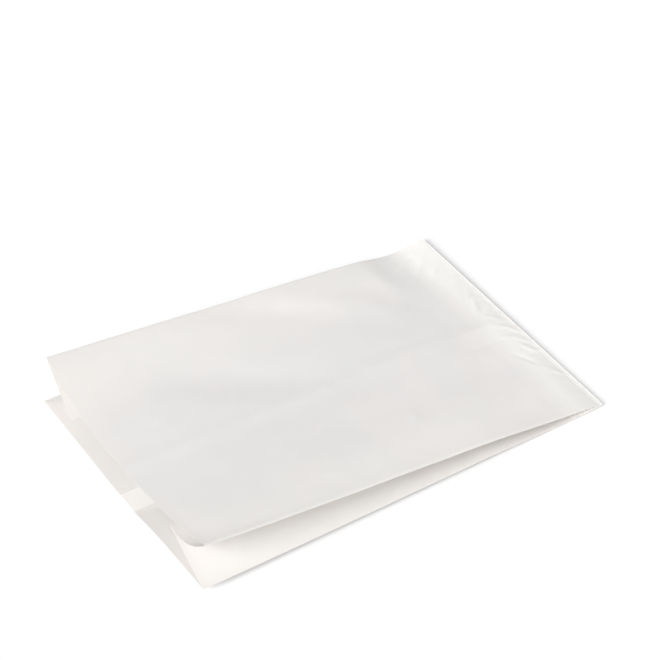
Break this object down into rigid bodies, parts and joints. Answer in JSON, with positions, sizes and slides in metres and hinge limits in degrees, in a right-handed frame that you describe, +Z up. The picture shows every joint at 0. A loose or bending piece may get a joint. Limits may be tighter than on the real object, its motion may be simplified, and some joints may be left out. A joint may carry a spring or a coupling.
{
  "type": "bread bag",
  "caption": "Flat-lying empty bread bag of thin white paper with side gussets, its mouth gaping and its far end folded under and glued.",
  "frame": {"origin": "bottom centre of the box around the bag as it lies, on the floor", "axes": "+X along the bag from the open mouth to the closed end, +Y across it, +Z up from the bottom panel to the top panel"},
  "size_m": [0.297, 0.2002, 0.0424],
  "materials": {
    "white_paper": "matte bleached kraft paper, thin and slightly translucent"
  },
  "bodies": {
    "root": {"paper_bag": "white_paper"}
  },
  "joints": []
}
